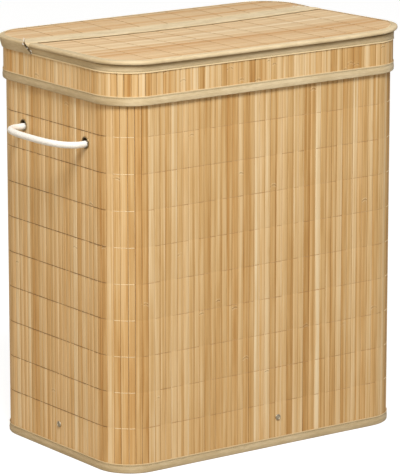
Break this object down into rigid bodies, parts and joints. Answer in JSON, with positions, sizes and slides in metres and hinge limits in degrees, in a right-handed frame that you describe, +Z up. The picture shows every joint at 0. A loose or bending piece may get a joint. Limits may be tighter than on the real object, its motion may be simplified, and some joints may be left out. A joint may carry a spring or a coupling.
{
  "type": "laundry hamper with two bins",
  "caption": "Upright laundry hamper of bamboo slat matting with rounded corners, a lift-off lid with a folding front flap, rope end handles and cloth bags side by side inside.",
  "frame": {"origin": "on the floor, under the middle of the hamper's box", "axes": "+X to the right along the long front, +Y from the front to the back, +Z up"},
  "size_m": [0.609, 0.348, 0.6],
  "materials": {
    "bamboo_slats": "split bamboo with a thin clear lacquer",
    "binding_tape": "woven beige binding tape",
    "lining_cloth": "thin bonded cloth",
    "fibreboard": "plain pressed fibreboard",
    "steel_wire": "drawn wire",
    "steel_bar": "zinc-plated flat bar",
    "steel_rivet": "plated rivet, dulled",
    "eyelet_metal": "plated eyelet",
    "cotton_rope": "white twisted cotton rope",
    "bag_cloth": "plain woven cotton",
    "hook_and_loop": "fuzzy fastening strip"
  },
  "bodies": {
    "hamper": {"wall_mat": "bamboo_slats", "wall_lining": "lining_cloth", "rim_hoop": "steel_wire", "base_hoop": "steel_wire", "rim_tape": "binding_tape", "base_tape": "binding_tape", "rim_loop_strip": "hook_and_loop", "long_spreader_bar": "steel_bar", "cross_spreader_bar": "steel_bar", "spreader_pivot": "steel_rivet", "base_board": "fibreboard", "left_wall_rivet": "steel_rivet", "left_rivet_washer": "steel_rivet", "right_wall_rivet": "steel_rivet", "right_rivet_washer": "steel_rivet", "front_wall_rivet": "steel_rivet", "front_rivet_washer": "steel_rivet", "rear_wall_rivet": "steel_rivet", "rear_rivet_washer": "steel_rivet", "left_rear_eyelet": "eyelet_metal", "left_rear_eyelet_ring": "eyelet_metal", "left_rear_rope_knot": "cotton_rope", "left_front_eyelet": "eyelet_metal", "left_front_eyelet_ring": "eyelet_metal", "left_front_rope_knot": "cotton_rope", "right_rear_eyelet": "eyelet_metal", "right_rear_eyelet_ring": "eyelet_metal", "right_rear_rope_knot": "cotton_rope", "right_front_eyelet": "eyelet_metal", "right_front_eyelet_ring": "eyelet_metal", "right_front_rope_knot": "cotton_rope", "left_bag": "bag_cloth", "left_bag_hem": "bag_cloth", "left_bag_hoop": "steel_wire", "left_bag_hook_strip": "hook_and_loop", "right_bag": "bag_cloth", "right_bag_hem": "bag_cloth", "right_bag_hoop": "steel_wire", "right_bag_hook_strip": "hook_and_loop"},
    "lid": {"collar_mat": "bamboo_slats", "collar_hoop": "steel_wire", "collar_top_tape": "binding_tape", "collar_bottom_tape": "binding_tape", "rear_panel_mat": "bamboo_slats", "rear_panel_board": "fibreboard", "rear_edge_tape": "binding_tape", "hinge_band": "binding_tape"},
    "flap": {"flap_mat": "bamboo_slats", "flap_board": "fibreboard", "flap_edge_tape": "binding_tape", "flap_hinge_tape": "binding_tape"},
    "left_handle": {"left_handle_rope": "cotton_rope"},
    "right_handle": {"right_handle_rope": "cotton_rope"}
  },
  "joints": [
    {"name": "lid_lift", "type": "slide", "parent": "hamper", "child": "lid", "axis": [0, 0, 1], "range_m": [0, 0.12]},
    {"name": "flap_hinge", "type": "hinge", "parent": "lid", "child": "flap", "pos_m": [0, 0.052, 0.60015], "axis": [-1, 0, 0], "range_deg": [0, 178]},
    {"name": "left_handle_swing", "type": "hinge", "parent": "hamper", "child": "left_handle", "pos_m": [-0.26365, 0, 0.47305], "axis": [0, 1, 0], "range_deg": [-85, 85]},
    {"name": "right_handle_swing", "type": "hinge", "parent": "hamper", "child": "right_handle", "pos_m": [0.26365, 0, 0.47305], "axis": [0, -1, 0], "range_deg": [-85, 85]}
  ]
}
